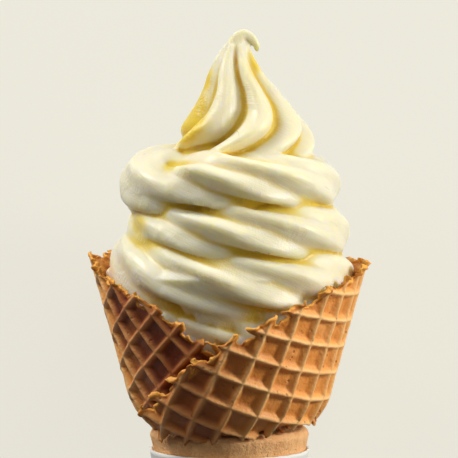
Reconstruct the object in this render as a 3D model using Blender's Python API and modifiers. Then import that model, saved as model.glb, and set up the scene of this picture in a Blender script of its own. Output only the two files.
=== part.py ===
"""A soft serve cone, lying on its back with its best side up.

Four pieces: the piped ice, the rolled waffle bowl, the moulded wafer stem below it and the
paper sleeve round the stem. Each is shaped upright, in millimetres, with the stem's axis on
Z, the bowl's foot near height 0 and the shown side towards -Y, and is then laid down: it
rests on the back of the bowl's rim and on the sleeve's tip, both pressed flat by the ground.

A turn round the axis is in degrees from the shown side, growing towards +X.
"""

import math

import bmesh
import bpy
import numpy as np
from mathutils import Matrix, Vector

NAME = "soft_serve_cone"
MM = 0.001

# waffle bowl
RIM_HEIGHT = 52.2
RIM_RADIUS = 41.9
BOWL_SLOPE = math.radians(15.4)
BEND_HEIGHT = 12.0
BEND = 0.035
BOWL_FOOT = 1.4
RIB_PITCH = 8.16
RIB_LEAN = math.radians(23.7)
RIB_SHIFT = (1.1, 6.99)
RIB_SLOPE = 1.9
PIT_DEPTH = 1.8
SHEET = 1.1
LAYER_STEP = 3.4
AXIS_SHIFT = 1.0
FRONT = 77.0
SHEET_LENGTH = 540.0

# edges of the rolled sheet: place along the sheet in degrees, height
OUTER_FLAP = [(22, 6.0), (27, 10.5), (33, 13.0), (39, 15.3), (68, 28.0), (101, 39.0), (130, 47.0),
              (164, RIM_HEIGHT - 0.6)]
INNER_FLAP = [(347, RIM_HEIGHT), (375, 47.0), (401, 41.0), (425, 30.5), (460, 19.0), (500, 12.5),
              (540, 9.5)]
# its lower edge, which rises on the right
FOOT = [(0, 0.0), (80, 0.0), (104, 0.8), (128, 2.4), (150, 3.6), (168, 2.6), (190, 0.4),
        (215, 0.0), (540, 0.0)]

# wafer stem and paper sleeve
STEM_RADIUS = 23.9
STEM_TOP = 1.1
SHOULDER = 2.2
BAND_BOTTOM = -6.3
SLEEVE_TOP = -5.3
SLEEVE_LENGTH = 104.0
SLEEVE_RADIUS = 24.1
SLEEVE_SLOPE = math.radians(10.0)
PAPER = 0.8
TIP_ROUND = 4.0
GAP = 0.3

# the piped strand: turns so far, height, reach, half height and half width of its section
STRAND = [
    (0.00, 34.0, 33.0, 8.0, 12.0),
    (0.25, 31.0, 33.0, 7.5, 12.0),
    (0.50, 36.0, 33.0, 8.5, 12.0),
    (0.75, 40.5, 34.0, 9.0, 12.0),
    (1.00, 47.5, 37.6, 9.4, 12.5),
    (1.25, 46.6, 36.4, 10.0, 12.5),
    (1.50, 51.6, 36.0, 10.8, 12.5),
    (1.75, 56.0, 35.2, 9.6, 12.0),
    (2.00, 61.0, 36.2, 8.6, 12.0),
    (2.25, 61.8, 34.2, 8.8, 12.0),
    (2.50, 62.9, 30.6, 7.4, 11.0),
    (2.75, 69.6, 31.0, 8.2, 11.0),
    (3.00, 75.2, 33.4, 8.2, 11.5),
    (3.25, 76.4, 31.5, 8.6, 11.5),
    (3.50, 75.2, 33.0, 10.4, 12.0),
    (3.75, 80.6, 25.0, 8.4, 10.0),
    (4.00, 84.0, 19.0, 7.0, 9.0),
]
FLUTES = 6
FLUTE_TWIST = -4 / 3
FLUTE_PHASE = math.radians(6.7)
FLUTE_DEPTH = (0.08, 0.26)

# the peak: height, centre towards +X, radius, turn of its flutes
PEAK = [
    (74.0, 3.0, 19.5, -150.0),
    (80.0, 3.6, 21.5, -80.0),
    (86.0, 4.6, 21.3, -42.0),
    (91.0, 5.0, 19.0, -16.0),
    (96.0, 4.6, 16.2, -5.0),
    (101.5, 3.7, 12.2, 0.0),
    (108.0, 2.0, 8.2, 2.0),
    (112.5, 1.7, 5.7, 2.0),
    (116.0, 2.1, 4.0, 2.0),
]
# the curl at its tip: across, height, radius
CURL = [(1.9, 111.0, 4.4), (2.1, 114.8, 3.6), (2.8, 117.6, 2.6), (4.4, 118.8, 1.9), (6.4, 118.0, 1.6),
        (7.9, 116.0, 1.2), (8.2, 113.9, 0.6)]
# the peak's grooves: turn, depth, how wide their trough is
PEAK_GROOVES = [(4.0, 0.42, 1.7), (52.0, 0.28, 1.3), (98.0, 0.24, 0.9), (144.0, 0.26, 0.9), (190.0, 0.28, 0.9),
                (240.0, 0.26, 0.9), (303.0, 0.30, 1.1)]

# resting pose
LEAN = math.radians(12.45)
PRESS = 0.8


def smooth_table(table, place):
    """Values of a table at the given places, on a smooth curve through its rows."""
    rows = np.array(table, float)
    keys = rows[:, 0]
    values = rows[:, 1:]
    slopes = np.gradient(values, keys, axis=0)
    at = np.clip(np.searchsorted(keys, place, side="right") - 1, 0, len(keys) - 2)
    span = (keys[at + 1] - keys[at])[:, None]
    t = np.clip((place - keys[at])[:, None] / span, 0.0, 1.0)
    start = (2 * t**3 - 3 * t**2 + 1) * values[at] + (t**3 - 2 * t**2 + t) * span * slopes[at]
    end = (3 * t**2 - 2 * t**3) * values[at + 1] + (t**3 - t**2) * span * slopes[at + 1]
    return (start + end).T


def smooth_step(low, high, value):
    t = np.clip((value - low) / (high - low), 0.0, 1.0)
    return t * t * (3 - 2 * t)


def bowl_radius(height):
    """Outer radius of the bowl over its rib crests."""
    straight = RIM_RADIUS - (RIM_HEIGHT - height) * math.tan(BOWL_SLOPE)
    below = np.maximum(BEND_HEIGHT - height, 0.0)
    return straight - BEND * below**2


# ---------------------------------------------------------------- the rolled waffle sheet

HEIGHTS = np.linspace(-4.0, 62.0, 800)
STEPS = np.hypot(np.diff(HEIGHTS), np.diff(bowl_radius(HEIGHTS)))
SLANTS = np.concatenate([[0.0], np.cumsum(STEPS)])
MIDDLE = 30.0
MIDDLE_RADIUS = float(bowl_radius(MIDDLE))
SLANTS = SLANTS - np.interp(MIDDLE, HEIGHTS, SLANTS)


def sheet_frames():
    """The flat sheet's own axes along its length: origin, and the way the cone's slant points."""
    place = np.arange(-20.0, SHEET_LENGTH + 21.0)
    middle = np.exp(-((place - 257.0) / 62.0) ** 4)
    turn = np.radians(np.cumsum(0.28 - 0.25 * middle))
    turn = turn - np.interp(FRONT, place, turn)
    step = math.radians(MIDDLE_RADIUS)
    along = np.cumsum(np.cos(turn)) * step
    across = np.cumsum(-np.sin(turn)) * step
    along = along - np.interp(FRONT, place, along)
    across = across - np.interp(FRONT, place, across)
    return place, turn, along, across


FRAMES = sheet_frames()


def flat_to_bowl(u, v):
    """Where a point of the flat sheet goes: place along the sheet in degrees, and height."""
    place, turn, along, across = FRAMES
    x = u * math.cos(RIB_LEAN) + v * math.sin(RIB_LEAN)
    y = -u * math.sin(RIB_LEAN) + v * math.cos(RIB_LEAN)
    s = FRONT + np.degrees(x / MIDDLE_RADIUS)
    for _ in range(40):
        angle = np.interp(s, place, turn)
        dx = x - np.interp(s, place, along)
        dy = y - np.interp(s, place, across)
        miss = dx * np.cos(angle) - dy * np.sin(angle)
        s = np.clip(s + 0.7 * np.degrees(miss / MIDDLE_RADIUS), -19.0, SHEET_LENGTH + 19.0)
    slant = dx * np.sin(angle) + dy * np.cos(angle)
    return s, np.interp(slant, SLANTS, HEIGHTS), np.abs(miss)


def bowl_to_flat(s, height):
    place, turn, along, across = FRAMES
    angle = np.interp(s, place, turn)
    slant = np.interp(height, HEIGHTS, SLANTS)
    x = np.interp(s, place, along) + slant * np.sin(angle)
    y = np.interp(s, place, across) + slant * np.cos(angle)
    u = x * math.cos(RIB_LEAN) - y * math.sin(RIB_LEAN)
    v = x * math.sin(RIB_LEAN) + y * math.cos(RIB_LEAN)
    return u, v


def sheet_top(s):
    """Height of the sheet's upper edge: the outer flap rises, the rim runs on, the inner falls."""
    outer = smooth_table(OUTER_FLAP, np.clip(s, OUTER_FLAP[0][0], OUTER_FLAP[-1][0]))[0]
    inner = smooth_table(INNER_FLAP, np.clip(s, INNER_FLAP[0][0], INNER_FLAP[-1][0]))[0]
    rim = RIM_HEIGHT - 1.0 * np.cos(np.radians(s - 164.0)) + 0.6 * np.sin(np.radians(s * 3.0))
    return np.where(s < OUTER_FLAP[-1][0], outer, np.where(s > INNER_FLAP[0][0], inner, rim))


def sheet_foot(s):
    """How far the sheet's lower edge stands above the bowl's foot."""
    return smooth_table(FOOT, s)[0]


def pit(u, v):
    """1 on the floor of a pit, 0 on the crest of a rib."""
    def away(w, shift):
        return np.abs(np.mod(w - shift + RIB_PITCH / 2, RIB_PITCH) - RIB_PITCH / 2)
    du = np.clip(away(u, RIB_SHIFT[0]) / RIB_SLOPE, 0.0, 1.0)
    dv = np.clip(away(v, RIB_SHIFT[1]) / RIB_SLOPE, 0.0, 1.0)
    return np.minimum(du, dv)


def wrap(s, height, outward):
    """Point of the rolled sheet, moved along the bowl's own outward direction."""
    lift = LAYER_STEP * (257.0 - s) / 360.0
    slope = (bowl_radius(height + 0.05) - bowl_radius(height - 0.05)) / 0.1
    size = np.hypot(slope, 1.0)
    radius = bowl_radius(height) + (lift + outward) / size
    up = height - slope * (lift + outward) / size
    turn = np.radians(s - FRONT)
    return radius * np.sin(turn) - AXIS_SHIFT, -radius * np.cos(turn), up


def grid_lines(low, high, shift, offsets):
    first = math.floor((low - shift) / RIB_PITCH)
    last = math.ceil((high - shift) / RIB_PITCH)
    return np.array([shift + k * RIB_PITCH + d for k in range(first, last + 1) for d in offsets])


def clipped_grid(us, vs, inside):
    """Faces of a grid of lines, cut where the value at its crossings falls below zero.

    Returns points (u, v) and faces as tuples of point numbers."""
    points = []
    numbers = {}

    def number(key, point):
        if key not in numbers:
            numbers[key] = len(points)
            points.append(point)
        return numbers[key]

    faces = []
    for i in range(len(us) - 1):
        for j in range(len(vs) - 1):
            corners = [(i, j), (i + 1, j), (i + 1, j + 1), (i, j + 1)]
            if all(inside[c] <= 0 for c in corners):
                continue
            face = []
            for a, b in zip(corners, corners[1:] + corners[:1]):
                if inside[a] > 0:
                    face.append(number(a, (us[a[0]], vs[a[1]])))
                if (inside[a] > 0) != (inside[b] > 0):
                    t = min(max(inside[a] / (inside[a] - inside[b]), 0.02), 0.98)
                    if a > b:
                        t = 1 - min(max(inside[b] / (inside[b] - inside[a]), 0.02), 0.98)
                    point = (us[a[0]] + t * (us[b[0]] - us[a[0]]), vs[a[1]] + t * (vs[b[1]] - vs[a[1]]))
                    face.append(number((min(a, b), max(a, b)), point))
            if len(face) > 2:
                faces.append(tuple(face))
    return points, faces


def make_bowl(collection):
    """The rolled sheet: ribs and square pits outside, smooth inside, closed all round its edge."""
    s, h = np.meshgrid(np.linspace(-8, SHEET_LENGTH + 8, 300), np.linspace(0, RIM_HEIGHT + 3, 40))
    u, v = bowl_to_flat(s.ravel(), h.ravel())
    offsets = (0.0, RIB_SLOPE, RIB_PITCH - RIB_SLOPE)
    us = grid_lines(u.min(), u.max(), RIB_SHIFT[0], offsets)
    vs = grid_lines(v.min(), v.max(), RIB_SHIFT[1], offsets)
    gu, gv = np.meshgrid(us, vs, indexing="ij")
    s, h, miss = flat_to_bowl(gu.ravel(), gv.ravel())
    low = np.minimum(h - BOWL_FOOT - sheet_foot(s), np.minimum(s - 24.0, SHEET_LENGTH - s) * 0.6)
    inside = np.minimum(sheet_top(s) - h - pit(gu.ravel(), gv.ravel()), low) - 20.0 * (miss > 0.5)
    inside = inside.reshape(gu.shape)
    points, faces = clipped_grid(us, vs, inside)
    uv = np.array(points)
    s, h, _ = flat_to_bowl(uv[:, 0], uv[:, 1])
    depth = pit(uv[:, 0], uv[:, 1]) * PIT_DEPTH
    outer = np.stack(wrap(s, h, -depth), 1)
    inner = np.stack(wrap(s, h, -(PIT_DEPTH + SHEET) * np.ones_like(s)), 1)

    mesh = bpy.data.meshes.new("waffle_bowl")
    work = bmesh.new()
    skin = [work.verts.new(p) for p in outer]
    lining = [work.verts.new(p) for p in inner]
    for face in faces:
        work.faces.new([skin[k] for k in face])
        work.faces.new([lining[k] for k in reversed(face)])
    edges = {}
    for face in faces:
        for a, b in zip(face, face[1:] + face[:1]):
            edges[(a, b)] = True
    for a, b in edges:
        if (b, a) not in edges:
            work.faces.new([skin[b], skin[a], lining[a], lining[b]])
    keep_largest_body(work)
    work.verts.index_update()
    first_lining = min(vert.index for vert in lining if vert.is_valid)
    work.to_mesh(mesh)
    work.free()
    bowl = add_object(collection, mesh, (0.75, 0.42, 0.17, 1.0), 0.75)
    group = bowl.vertex_groups.new(name="lining")
    group.add(list(range(first_lining, len(mesh.vertices))), 1.0, "REPLACE")
    thin = bowl.modifiers.new("fewer faces", "DECIMATE")
    thin.ratio = 0.6
    thin.vertex_group = group.name
    return bowl


def keep_largest_body(work):
    """Drop loose crumbs that the outline cut off."""
    left = set(work.verts)
    bodies = []
    while left:
        body = set()
        stack = [left.pop()]
        while stack:
            vert = stack.pop()
            body.add(vert)
            for edge in vert.link_edges:
                other = edge.other_vert(vert)
                if other in left:
                    left.remove(other)
                    stack.append(other)
        bodies.append(body)
    bodies.sort(key=len)
    for body in bodies[:-1]:
        bmesh.ops.delete(work, geom=list(body), context="VERTS")


# ---------------------------------------------------------------- the piped ice


def loft(rings):
    """A closed skin over rings of equal length, with a fan at each end."""
    count, sides, _ = rings.shape
    points = rings.reshape(-1, 3).tolist() + [rings[0].mean(0).tolist(), rings[-1].mean(0).tolist()]
    faces = []
    for i in range(count - 1):
        for j in range(sides):
            k = (j + 1) % sides
            faces.append((i * sides + j, i * sides + k, (i + 1) * sides + k, (i + 1) * sides + j))
    for j in range(sides):
        k = (j + 1) % sides
        faces.append((count * sides, k, j))
        faces.append((count * sides + 1, (count - 1) * sides + j, (count - 1) * sides + k))
    return points, faces


def strand_rings(steps=60, sides=48):
    """The fluted strand, coiled clockwise and rising from the right of the shown side."""
    turns = np.linspace(STRAND[0][0], STRAND[-1][0], int(steps * STRAND[-1][0]))
    height, reach, half_height, half_width = smooth_table(STRAND, turns)
    turn = math.pi / 2 - 2 * math.pi * turns
    round_it = np.linspace(0.0, 2 * math.pi, sides, endpoint=False)[None, :]
    crest = FLUTE_PHASE + FLUTE_TWIST * turn[:, None]
    shallow, deep = FLUTE_DEPTH
    depth = shallow + (deep - shallow) * np.cos(turn)[:, None] ** 2
    size = 1 - depth + depth * np.abs(np.cos(FLUTES * (round_it - crest) / 2))
    out = np.sign(np.cos(round_it)) * np.abs(np.cos(round_it)) ** 0.8 * size
    up = np.sign(np.sin(round_it)) * np.abs(np.sin(round_it)) ** 0.8 * size
    radius = (reach - half_width)[:, None] + half_width[:, None] * out
    level = height[:, None] + half_height[:, None] * up - 0.12 * half_width[:, None] * np.maximum(out, 0)
    return np.stack([radius * np.sin(turn)[:, None], -radius * np.cos(turn)[:, None], level], -1)


def fluted(turn, grooves):
    """Radius factor round a fluted section: a rounded crest between each two grooves."""
    at = np.mod(turn, 360.0)
    rows = sorted((np.mod(place, 360.0), depth, width) for place, depth, width in grooves)
    last, first = rows[-1], rows[0]
    rows = [(last[0] - 360.0,) + last[1:]] + rows + [(first[0] + 360.0,) + first[1:]]
    factor = np.ones_like(at)
    for (start, depth, width), (end, next_depth, next_width) in zip(rows, rows[1:]):
        t = (at - start) / (end - start)
        here = (t >= 0) & (t <= 1)
        t = np.clip(t, 0.0, 1.0)
        rise = np.sin(np.pi * t) ** (width + (next_width - width) * t)
        factor = np.where(here, 1 - (depth + (next_depth - depth) * t) * (1 - rise), factor)
    return factor


def peak_rings(steps=60, sides=72):
    """The peak: flutes that rise straight and curl away to the left at its foot."""
    level = np.linspace(PEAK[0][0], PEAK[-1][0], steps)
    centre, radius, twist = smooth_table(PEAK, level)
    turn = np.linspace(0.0, 360.0, sides, endpoint=False)[None, :]
    size = radius[:, None] * fluted(turn - twist[:, None], PEAK_GROOVES)
    x = centre[:, None] + size * np.sin(np.radians(turn))
    y = -size * np.cos(np.radians(turn))
    return np.stack([x, y, np.broadcast_to(level[:, None], x.shape)], -1)[:, ::-1]


def curl_rings(steps=30, sides=20):
    """The drawn-out tip, which bends over to the right and ends ragged."""
    rows = np.array(CURL)
    place = np.linspace(0.0, len(rows) - 1.0, steps)
    x, z, radius = smooth_table(np.column_stack([np.arange(len(rows)), rows]), place)
    heading = np.arctan2(np.gradient(z), np.gradient(x))
    turn = np.linspace(0.0, 2 * math.pi, sides, endpoint=False)[None, :]
    reach = radius[:, None] * (1 - 0.22 * (1 - np.abs(np.cos(1.5 * turn + 0.5))))
    side = reach * np.cos(turn)
    return np.stack([x[:, None] - np.sin(heading)[:, None] * side, reach * np.sin(turn) * 0.9 - 0.4,
                     z[:, None] + np.cos(heading)[:, None] * side], -1)


def core_rings(sides=48):
    """What fills the bowl and the middle of the coils."""
    turn = np.linspace(0.0, 2 * math.pi, sides, endpoint=False)[None, :]
    level = np.array([2.6, 4.0] + list(range(8, 60, 4)) + [60.0, 70.0, 80.0, 86.0])[:, None]
    above = np.interp(level, [40.0, 50.0, 60.0, 80.0, 86.0], [60.0, 33.0, 28.0, 20.0, 12.0])
    rim = bowl_top(np.degrees(turn).ravel())[None, :]
    radius = np.minimum(bowl_room(np.degrees(turn), level) - 4.0 * smooth_step(rim - 5.0, rim, level), above)
    x = radius * np.sin(turn) - AXIS_SHIFT
    y = -radius * np.cos(turn)
    return np.stack([x, y, np.broadcast_to(level, x.shape)], -1)[:, ::-1]


def bowl_room(turn, height, clear=1.0):
    """Radius free for the ice inside the innermost layer of the sheet that stands this high."""
    place = np.mod(turn + FRONT, 360.0)
    under = np.interp(place, [0.0, 183.0, 200.0, 360.0], [360.0, 543.0, 200.0, 360.0])
    under_top = sheet_top(np.clip(under, 347.0, SHEET_LENGTH).ravel()).reshape(under.shape)
    lapped = smooth_step(under_top + 7.0, under_top + 4.0, height) * (place < 200.0)
    innermost = np.where(place < 200.0, place + lapped * (under - place), place)
    lift = LAYER_STEP * (257.0 - innermost) / 360.0
    steep = math.tan(BOWL_SLOPE) + 2 * BEND * np.maximum(BEND_HEIGHT + 1.0 - height, 0.0)
    return bowl_radius(height) + (lift - PIT_DEPTH - SHEET) * np.hypot(steep, 1.0) - clear


def bowl_top(turn):
    """Height of the bowl's inner edge at a turn round the axis."""
    place = np.mod(turn + FRONT, 360.0)
    inner = np.where(place < 185.0, sheet_top(np.minimum(place + 360.0, SHEET_LENGTH)), 0.0)
    return np.maximum(sheet_top(place), inner)


def make_ice(collection):
    """Strand, peak and core, run together into one body and kept inside the bowl."""
    points = []
    faces = []
    for rings in (strand_rings(), peak_rings(), curl_rings(), core_rings()):
        more, skin = loft(rings)
        faces += [tuple(k + len(points) for k in face) for face in skin]
        points += more
    place = np.array(points)
    turn = np.degrees(np.arctan2(place[:, 0] + AXIS_SHIFT, -place[:, 1]))
    reach = np.hypot(place[:, 0] + AXIS_SHIFT, place[:, 1])
    room = bowl_room(turn, place[:, 2])
    within = np.clip((bowl_top(turn) + 3.5 - place[:, 2]) / 2.0, 0.0, 1.0)
    shrink = np.where(reach > room, 1 + within * (room / np.maximum(reach, 1e-6) - 1), 1.0)
    place[:, 0] = (place[:, 0] + AXIS_SHIFT) * shrink - AXIS_SHIFT
    place[:, 1] = place[:, 1] * shrink
    mesh = bpy.data.meshes.new("soft_serve")
    mesh.from_pydata(place.tolist(), [], faces)
    work = bmesh.new()
    work.from_mesh(mesh)
    bmesh.ops.recalc_face_normals(work, faces=work.faces)
    work.to_mesh(mesh)
    work.free()
    ice = add_object(collection, mesh, (0.85, 0.79, 0.57, 1.0), 0.45)
    join = ice.modifiers.new("run together", "REMESH")
    join.mode = "VOXEL"
    join.voxel_size = 0.9
    ease = ice.modifiers.new("ease", "SMOOTH")
    ease.factor = 0.5
    ease.iterations = 3
    thin = ice.modifiers.new("fewer faces", "DECIMATE")
    thin.ratio = 0.046
    return ice


# ---------------------------------------------------------------- the stem and its sleeve


def turned(collection, name, profile, colour, roughness, sides=40):
    """A turned piece from its half section, listed down the outside from the axis or round."""
    mesh = bpy.data.meshes.new(name)
    count = len(profile)
    closed = profile[0][0] > 0
    edges = [(k, k + 1) for k in range(count - 1)] + ([(count - 1, 0)] if closed else [])
    mesh.from_pydata([(radius, 0.0, level) for radius, level in profile], edges, [])
    piece = add_object(collection, mesh, colour, roughness)
    spin = piece.modifiers.new("turned", "SCREW")
    spin.steps = sides
    spin.render_steps = sides
    spin.use_merge_vertices = True
    spin.merge_threshold = 0.0001
    return piece


def make_stem(collection):
    """The wafer stem: a rounded shoulder under the bowl, a short band, then its tapered body."""
    shoulder = [(STEM_RADIUS - SHOULDER * (1 - math.sin(a)), STEM_TOP - SHOULDER * (1 - math.cos(a)))
                for a in np.linspace(0.0, math.pi / 2, 6)]
    top = SLEEVE_RADIUS - PAPER - GAP
    low = SLEEVE_TOP - SLEEVE_LENGTH + TIP_ROUND
    fall = math.tan(SLEEVE_SLOPE)
    foot = top - (SLEEVE_TOP - low) * fall
    profile = [(0.0, STEM_TOP)] + shoulder
    profile += [(top, SLEEVE_TOP + GAP), (top - (SLEEVE_TOP - BAND_BOTTOM) * fall, BAND_BOTTOM)]
    profile += [(foot, low), (0.0, low)]
    return turned(collection, "wafer_base", profile, (0.70, 0.45, 0.24, 1.0), 0.85)


def make_sleeve(collection):
    """The paper cone: a thin wall down to a small rounded tip, open at its top."""
    fall = math.tan(SLEEVE_SLOPE)
    low = SLEEVE_TOP - SLEEVE_LENGTH
    tip = SLEEVE_RADIUS - (SLEEVE_LENGTH - TIP_ROUND) * fall
    outside = [(0.0, low)]
    outside += [(tip - TIP_ROUND * 0.7 * (1 - math.sin(a)), low + TIP_ROUND * (1 - math.cos(a)))
                for a in np.linspace(0.0, math.pi / 2, 5)]
    outside += [(SLEEVE_RADIUS, SLEEVE_TOP)]
    inside = [(SLEEVE_RADIUS - PAPER, SLEEVE_TOP), (tip - PAPER, low + TIP_ROUND - GAP)]
    inside += [(0.0, low + TIP_ROUND - GAP)]
    return turned(collection, "paper_sleeve", (outside + inside)[::-1], (0.84, 0.84, 0.80, 1.0), 0.6)


# ---------------------------------------------------------------- putting it together


def add_object(collection, mesh, colour, roughness):
    """An object with its own material, named like its mesh."""
    material = bpy.data.materials.new(mesh.name)
    material.use_nodes = True
    shader = material.node_tree.nodes["Principled BSDF"]
    shader.inputs["Base Color"].default_value = colour
    shader.inputs["Roughness"].default_value = roughness
    shader.inputs["Metallic"].default_value = 0.0
    mesh.materials.append(material)
    mesh.shade_smooth()
    piece = bpy.data.objects.new(mesh.name, mesh)
    collection.objects.link(piece)
    return piece


def evaluated_mesh(piece):
    """The piece's mesh with its modifiers applied."""
    graph = bpy.context.evaluated_depsgraph_get()
    return bpy.data.meshes.new_from_object(piece.evaluated_get(graph))


def lay_down(pieces):
    """Tip the pieces onto their backs, press them on the ground and centre them over the origin."""
    tip = Matrix.Scale(MM, 4) @ Matrix.Rotation(-(math.pi / 2 - LEAN), 4, "X")
    for piece in pieces:
        mesh = evaluated_mesh(piece)
        mesh.transform(tip)
        piece.modifiers.clear()
        piece.data = mesh
    ground = min(v.co.z for p in pieces for v in p.data.vertices) + PRESS * MM
    for piece in pieces:
        for vertex in piece.data.vertices:
            vertex.co.z = max(vertex.co.z - ground, 0.0)
    points = np.array([v.co for p in pieces for v in p.data.vertices])
    middle = (points.max(0) + points.min(0)) / 2
    for piece in pieces:
        piece.data.transform(Matrix.Translation(Vector((-middle[0], -middle[1], 0.0))))


def main():
    for thing in list(bpy.data.objects):
        bpy.data.objects.remove(thing)
    collection = bpy.data.collections.new(NAME)
    bpy.context.scene.collection.children.link(collection)
    pieces = [make_ice(collection), make_bowl(collection), make_stem(collection), make_sleeve(collection)]
    bpy.context.view_layer.update()
    lay_down(pieces)


main()
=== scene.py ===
import math

import bmesh
import bpy
import numpy as np
from mathutils import Matrix, Vector, noise


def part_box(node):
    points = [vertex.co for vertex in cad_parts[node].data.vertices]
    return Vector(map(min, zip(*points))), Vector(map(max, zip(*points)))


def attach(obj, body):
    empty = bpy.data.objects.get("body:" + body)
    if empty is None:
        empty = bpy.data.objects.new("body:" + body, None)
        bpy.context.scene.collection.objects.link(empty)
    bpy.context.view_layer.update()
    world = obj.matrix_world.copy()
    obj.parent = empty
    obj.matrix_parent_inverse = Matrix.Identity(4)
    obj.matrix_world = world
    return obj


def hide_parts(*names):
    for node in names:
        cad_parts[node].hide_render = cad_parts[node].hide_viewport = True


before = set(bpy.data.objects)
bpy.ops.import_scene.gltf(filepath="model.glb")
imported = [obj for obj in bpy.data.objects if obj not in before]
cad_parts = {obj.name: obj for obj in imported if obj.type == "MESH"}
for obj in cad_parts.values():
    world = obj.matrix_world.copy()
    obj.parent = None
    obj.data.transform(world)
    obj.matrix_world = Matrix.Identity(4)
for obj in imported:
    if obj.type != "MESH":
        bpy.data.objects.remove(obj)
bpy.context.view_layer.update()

# Every piece is shaped upright, in millimetres: the stem's axis on Z, the bowl's foot near
# height 0, the shown side towards -Y. A turn round the axis is in degrees from the shown
# side, growing towards +X. laid_down() puts a piece where the frame has it.

MM = 0.001
LEAN = math.radians(12.45)

# waffle bowl
RIM_HEIGHT = 52.2
RIM_RADIUS = 41.9
BOWL_SLOPE = math.radians(15.4)
BEND_HEIGHT = 12.0
BEND = 0.035
BOWL_FOOT = 0.7
RIB_PITCH = 8.16
RIB_LEAN = math.radians(23.7)
RIB_SHIFT = (1.1, 6.99)
RIB_CREST = 0.4
RIB_SLOPE = 1.45
RIB_SOFTNESS = 0.6
PIT_DEPTH = 1.8
SHEET = 1.1
# the roll: what each turn gains in radius, and the place that lies at the bowl's own radius
LAYER_STEP = 3.4
LAYER_MIDDLE = 257.0
AXIS_SHIFT = 1.0
# the rolled sheet's two ends and its place on the shown side, in degrees along it
SHEET_START = 24.0
SHEET_LENGTH = 540.0
FRONT = 77.0
# the height where the flat sheet keeps its length, and how far a point may miss the roll
MIDDLE = 30.0
SHEET_MISS = 0.5

# edges of the rolled sheet: place along the sheet in degrees, height
OUTER_FLAP = [(22, 6.0), (27, 10.5), (33, 13.0), (39, 15.3), (68, 28.0), (101, 39.0), (130, 47.0),
              (164, RIM_HEIGHT - 0.6)]
INNER_FLAP = [(347, RIM_HEIGHT), (375, 47.0), (401, 41.0), (425, 30.5), (460, 19.0), (500, 12.5),
              (540, 9.5)]
# how far its lower edge stands above the bowl's foot, which it does on the right
FOOT = [(0, 0.0), (80, 0.0), (104, 0.8), (128, 2.4), (150, 3.6), (168, 2.6), (190, 0.4),
        (215, 0.0), (540, 0.0)]

# wafer stem and paper sleeve
STEM_RADIUS = 23.9
STEM_TOP = 1.1
SHOULDER = 2.2
BAND_BOTTOM = -6.3
SLEEVE_TOP = -5.3
SLEEVE_LENGTH = 104.0
SLEEVE_RADIUS = 24.1
SLEEVE_SLOPE = math.radians(10.0)
PAPER = 0.8
TIP_ROUND = 4.0
GAP = 0.3

# the piped strand: turns so far, height, reach, half height and half width of its section
STRAND = [
    (0.00, 34.0, 33.0, 8.0, 12.0),
    (0.25, 31.0, 33.0, 7.5, 12.0),
    (0.50, 36.0, 33.0, 8.5, 12.0),
    (0.75, 40.5, 34.0, 9.0, 12.0),
    (1.00, 47.5, 37.6, 9.4, 12.5),
    (1.25, 46.6, 36.4, 10.0, 12.5),
    (1.50, 51.6, 36.0, 10.8, 12.5),
    (1.75, 56.0, 35.2, 9.6, 12.0),
    (2.00, 61.0, 36.2, 8.6, 12.0),
    (2.25, 61.8, 34.2, 8.8, 12.0),
    (2.50, 62.9, 30.6, 7.4, 11.0),
    (2.75, 69.6, 31.0, 8.2, 11.0),
    (3.00, 75.2, 33.4, 8.2, 11.5),
    (3.25, 76.4, 31.5, 8.6, 11.5),
    (3.50, 75.2, 33.0, 10.4, 12.0),
    (3.75, 80.6, 25.0, 8.4, 10.0),
    (4.00, 84.0, 19.0, 7.0, 9.0),
]
# its flutes: how many, how they turn along it, and their least and greatest depth
FLUTES = 6
FLUTE_TWIST = -4 / 3
FLUTE_PHASE = math.radians(6.7)
FLUTE_DEPTH = (0.08, 0.235)
# its mean reach and the climb of its flutes, which its grain follows
STRAND_REACH = 34.0
STRAND_CLIMB = 0.42

# the peak: height, centre towards +X, radius, turn of its flutes
PEAK = [
    (74.0, 3.0, 19.5, -150.0),
    (80.0, 3.6, 21.5, -80.0),
    (86.0, 4.6, 21.3, -42.0),
    (91.0, 4.3, 19.8, -16.0),
    (96.0, 4.6, 16.2, -5.0),
    (101.5, 3.7, 12.2, 0.0),
    (108.0, 2.0, 8.2, 2.0),
    (112.5, 1.7, 5.7, 2.0),
    (116.0, 2.1, 4.0, 2.0),
]
# where the peak stands on the strand, and its mean reach
PEAK_FOOT = 84.0
PEAK_REACH = 18.0
# the curl at its tip: across, height, radius
CURL = [(1.9, 111.0, 4.4), (2.1, 114.8, 3.6), (2.8, 117.6, 2.6), (4.4, 118.8, 1.9), (6.4, 118.0, 1.6),
        (7.9, 116.0, 1.2), (8.2, 113.9, 0.6)]
# the peak's grooves: turn, depth, how wide their trough is
PEAK_GROOVES = [(4.0, 0.42, 1.7), (52.0, 0.28, 1.3), (98.0, 0.24, 0.9), (144.0, 0.26, 0.9),
                (190.0, 0.28, 0.9), (240.0, 0.26, 0.9), (303.0, 0.30, 1.1)]

# painted glow, golden spots standing in for light coming through the ice: across, height, half width, half
# height, how much
PAINTED_GLOW = [(-11.8, 97.0, 4.6, 8.0, 0.90), (-7.8, 107.5, 2.4, 6.0, 0.72), (-14.5, 90.5, 5.2, 3.8, 0.75),
          (7.6, 111.0, 2.2, 5.0, 0.48), (-27.0, 63.5, 2.6, 5.0, 0.45), (-22.0, 57.5, 4.0, 1.8, 0.35)]
# hollows pressed into the ice: across, back, height, size, depth
HOLLOWS = [(-17.5, -20.0, 84.5, 5.2, 6.0), (-12.0, -23.0, 85.5, 3.4, 2.5)]

# camera: how far it tips past the shown side, its target, its distance and the width it takes in
CAMERA_TILT = math.radians(3.6)
CAMERA_TARGET = (-0.15, 0.0, 60.8)
CAMERA_DISTANCE = 0.9
CAMERA_FIELD = 0.1374
FILM = 36.0
# half the floor's side
GROUND_HALF = 1.5

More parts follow.
